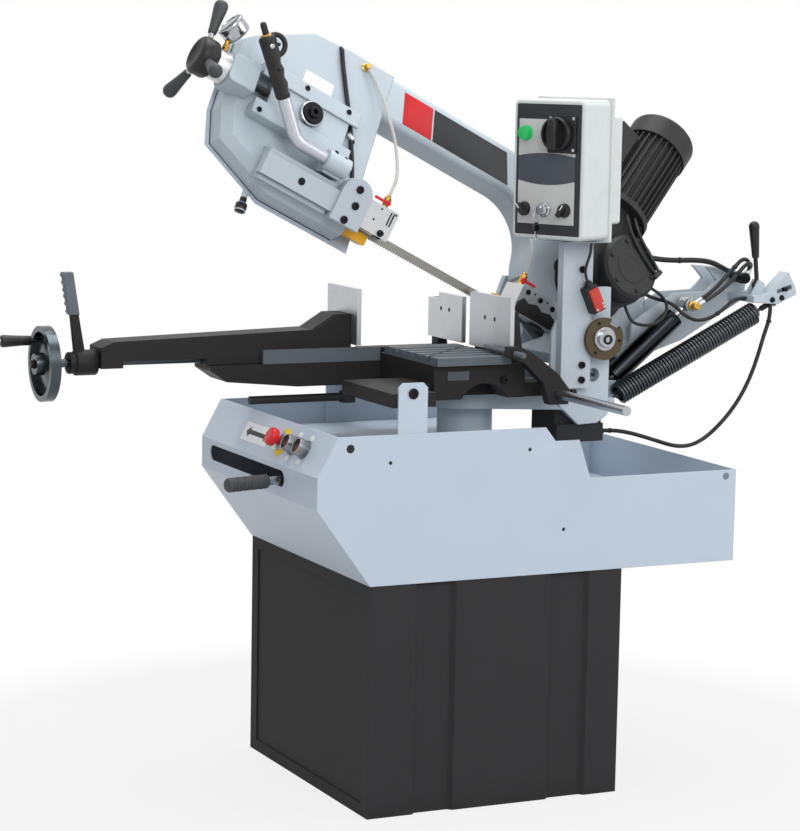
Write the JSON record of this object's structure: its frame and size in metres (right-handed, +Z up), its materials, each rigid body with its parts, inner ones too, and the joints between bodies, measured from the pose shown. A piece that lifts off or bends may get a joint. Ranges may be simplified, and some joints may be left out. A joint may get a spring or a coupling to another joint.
{
  "type": "metal cutting band saw",
  "caption": "Mitre band saw for metal with a swinging bow, screw vise and control box on a chip tray over a sheet cabinet",
  "frame": {"origin": "middle of the cabinet footprint on the floor", "axes": "+X to the operator's right, +Y from the operator to the back, +Z up"},
  "size_m": [0.863, 1.7854, 1.6732],
  "materials": {
    "cast_grey": "satin grey paint on castings",
    "tray_grey": "satin light grey paint on sheet",
    "charcoal": "fine textured charcoal paint",
    "vise_black": "black painted cast iron",
    "table_steel": "machined steel",
    "jaw_steel": "ground steel plate",
    "blade_steel": "band steel",
    "bright_steel": "bright drawn steel",
    "black_plastic": "moulded black plastic",
    "box_white": "moulded off-white enclosure",
    "motor_black": "black paint",
    "spring_black": "oiled black spring wire",
    "guard_yellow": "yellow paint",
    "red_plastic": "red moulded plastic",
    "green_plastic": "green moulded plastic",
    "lamp_green": "green lens",
    "cable_black": "black cable sheath",
    "guide_metal": "machined alloy"
  },
  "bodies": {
    "base": {"cabinet": "charcoal", "cabinet_front_panel": "charcoal", "coolant_unit": "black_plastic", "tray": "tray_grey", "tray_brackets": "tray_grey", "panel_collars": "bright_steel", "vise_base": "vise_black", "table": "table_steel", "fixed_jaws": "jaw_steel", "stop_rod": "bright_steel"},
    "estop": {"estop_button": "red_plastic"},
    "start": {"start_button": "green_plastic"},
    "stop": {"stop_button": "red_plastic"},
    "mitre_lock": {"mitre_lever": "black_plastic"},
    "vise_shift": {"vise_shift_lever": "black_plastic"},
    "length_stop": {"stop_arm": "vise_black"},
    "vise": {"vise_beam": "vise_black", "moving_jaw": "jaw_steel"},
    "vise_wheel": {"handwheel": "vise_black"},
    "vise_crank": {"crank_handle": "black_plastic"},
    "vise_lock": {"vise_lock_lever": "vise_black"},
    "turret": {"turret": "cast_grey", "pedestal_block": "black_plastic", "control_bracket": "cast_grey", "control_box": "box_white", "pilot_lamp": "lamp_green", "limit_switch": "black_plastic", "tail_cables": "cable_black", "spring_right": "spring_black", "spring_left": "spring_black"},
    "main_knob": {"main_switch": "black_plastic"},
    "left_knob": {"selector_left": "black_plastic"},
    "right_knob": {"selector_right": "black_plastic"},
    "key": {"key_switch": "bright_steel"},
    "barrel": {"cylinder_barrel": "motor_black"},
    "piston": {"cylinder_rod": "bright_steel"},
    "bow": {"front_housing": "cast_grey", "bow_arm": "cast_grey", "wheel_covers": "tray_grey", "blade": "blade_steel", "tension_gauge": "bright_steel", "rear_guide": "guide_metal", "blade_guards": "guard_yellow", "handle_tube": "cast_grey", "handle_grip": "black_plastic", "gearbox": "motor_black", "motor": "motor_black", "pivot_shafts": "bright_steel", "tail_arms": "cast_grey", "bow_cables": "cable_black"},
    "drive": {"drive_wheel": "table_steel"},
    "slide": {"tension_slide": "cast_grey"},
    "idler": {"idler_wheel": "table_steel"},
    "tension": {"tension_handle": "black_plastic"},
    "guide_arm": {"guide_bar": "cast_grey", "front_guide": "guide_metal"},
    "front_tap": {"front_tap_lever": "red_plastic"},
    "rear_tap": {"rear_tap_lever": "red_plastic"},
    "trigger": {"handle_trigger": "black_plastic"},
    "valve": {"valve_lever": "black_plastic"}
  },
  "joints": [
    {"name": "estop_press", "type": "slide", "parent": "base", "child": "estop", "axis": [0, 0.8812, -0.4728], "range_m": [0, 0.005], "stiffness_N_per_m": 900, "springref_m": -0.002},
    {"name": "start_press", "type": "slide", "parent": "base", "child": "start", "axis": [0, 0.8812, -0.4728], "range_m": [0, 0.004], "stiffness_N_per_m": 600, "springref_m": -0.002},
    {"name": "stop_press", "type": "slide", "parent": "base", "child": "stop", "axis": [0, 0.8812, -0.4728], "range_m": [0, 0.004], "stiffness_N_per_m": 600, "springref_m": -0.002},
    {"name": "mitre_lock_turn", "type": "hinge", "parent": "base", "child": "mitre_lock", "pos_m": [0, 0.072, 0.692], "axis": [0, 0, 1], "range_deg": [-36, 0]},
    {"name": "vise_shift_turn", "type": "hinge", "parent": "base", "child": "vise_shift", "pos_m": [-0.1, -0.165, 0.826], "axis": [0, 0, 1], "range_deg": [-20, 20]},
    {"name": "length_stop_slide", "type": "slide", "parent": "base", "child": "length_stop", "axis": [1, 0, 0], "range_m": [0, 0.25]},
    {"name": "vise_slide", "type": "slide", "parent": "base", "child": "vise", "axis": [0, 1, 0], "range_m": [0, 0.225]},
    {"name": "handwheel_turn", "type": "hinge", "parent": "vise", "child": "vise_wheel", "pos_m": [-0.11, -0.858, 0.919], "axis": [0, 1, 0], "range_deg": [0, 8101]},
    {"name": "crank_spin", "type": "hinge", "parent": "vise_wheel", "child": "vise_crank", "pos_m": [-0.14571, -0.898, 0.96471], "axis": [0, 1, 0], "continuous": true},
    {"name": "vise_lock_turn", "type": "hinge", "parent": "vise", "child": "vise_lock", "pos_m": [-0.11, -0.776, 0.919], "axis": [0, 1, 0], "range_deg": [-70, 0]},
    {"name": "mitre", "type": "hinge", "parent": "base", "child": "turret", "pos_m": [0, 0.072, 0.815], "axis": [0, 0, 1], "range_deg": [0, 45]},
    {"name": "main_switch_turn", "type": "hinge", "parent": "turret", "child": "main_knob", "pos_m": [0.22504, 0.16886, 1.409], "axis": [0.4384, -0.8988, 0], "range_deg": [0, 90]},
    {"name": "selector_left_turn", "type": "hinge", "parent": "turret", "child": "left_knob", "pos_m": [0.14775, 0.13117, 1.249], "axis": [0.4384, -0.8988, 0], "range_deg": [0, 45]},
    {"name": "selector_right_turn", "type": "hinge", "parent": "turret", "child": "right_knob", "pos_m": [0.24122, 0.17676, 1.249], "axis": [0.4384, -0.8988, 0], "range_deg": [0, 45]},
    {"name": "key_turn", "type": "hinge", "parent": "turret", "child": "key", "pos_m": [0.19448, 0.15396, 1.249], "axis": [0.4384, -0.8988, 0], "range_deg": [0, 60]},
    {"name": "bow_swing", "type": "hinge", "parent": "turret", "child": "bow", "pos_m": [0, 0.303, 0.97], "axis": [1, 0, 0], "range_deg": [0, 27.3], "deforming": ["spring_right", "spring_left"]},
    {"name": "cylinder_tilt", "type": "hinge", "parent": "turret", "child": "barrel", "pos_m": [0.056, 0.39, 0.851], "axis": [1, 0, 0], "range_deg": [0, 24.18]},
    {"name": "cylinder_stroke", "type": "slide", "parent": "barrel", "child": "piston", "axis": [0, 0.7661, 0.6427], "range_m": [0, 0.0681]},
    {"name": "drive_spin", "type": "hinge", "parent": "bow", "child": "drive", "pos_m": [-0.05153, 0.38091, 1.06209], "axis": [0.9397, 0.1569, 0.3039], "continuous": true},
    {"name": "tension_slide_move", "type": "slide", "parent": "bow", "child": "slide", "axis": [0, 0.8886, -0.4587], "range_m": [0, 0.006]},
    {"name": "idler_spin", "type": "hinge", "parent": "slide", "child": "idler", "pos_m": [-0.05153, -0.31665, 1.42213], "axis": [0.9397, 0.1569, 0.3039], "continuous": true},
    {"name": "tension_turn", "type": "hinge", "parent": "bow", "child": "tension", "pos_m": [-0.00924, -0.52286, 1.54588], "axis": [0, 0.8886, -0.4587], "range_deg": [0, 541]},
    {"name": "guide_slide", "type": "slide", "parent": "bow", "child": "guide_arm", "axis": [0, 0.8886, -0.4587], "range_m": [0, 0.075]},
    {"name": "front_tap_turn", "type": "hinge", "parent": "guide_arm", "child": "front_tap", "pos_m": [0.016, -0.13434, 1.25425], "axis": [1, 0, 0], "range_deg": [-80, 0]},
    {"name": "rear_tap_turn", "type": "hinge", "parent": "bow", "child": "rear_tap", "pos_m": [0.016, 0.198, 1.08271], "axis": [1, 0, 0], "range_deg": [0, 80]},
    {"name": "trigger_pull", "type": "slide", "parent": "bow", "child": "trigger", "axis": [0, -0.9527, -0.304], "range_m": [0, 0.003], "stiffness_N_per_m": 300, "springref_m": -0.002},
    {"name": "valve_turn", "type": "hinge", "parent": "bow", "child": "valve", "pos_m": [0.108, 0.74705, 1.06941], "axis": [1, 0, 0], "range_deg": [-25, 25]}
  ],
  "couplings": [
    {"joint": "handwheel_turn", "follows": "vise_slide", "rad_per_m": 628.32},
    {"joint": "cylinder_tilt", "follows": "bow_swing", "ratio": 0.882},
    {"joint": "cylinder_stroke", "follows": "bow_swing", "m_per_rad": 0.1425},
    {"joint": "idler_spin", "follows": "drive_spin", "ratio": 1},
    {"joint": "tension_turn", "follows": "tension_slide_move", "rad_per_m": 1570.8}
  ]
}
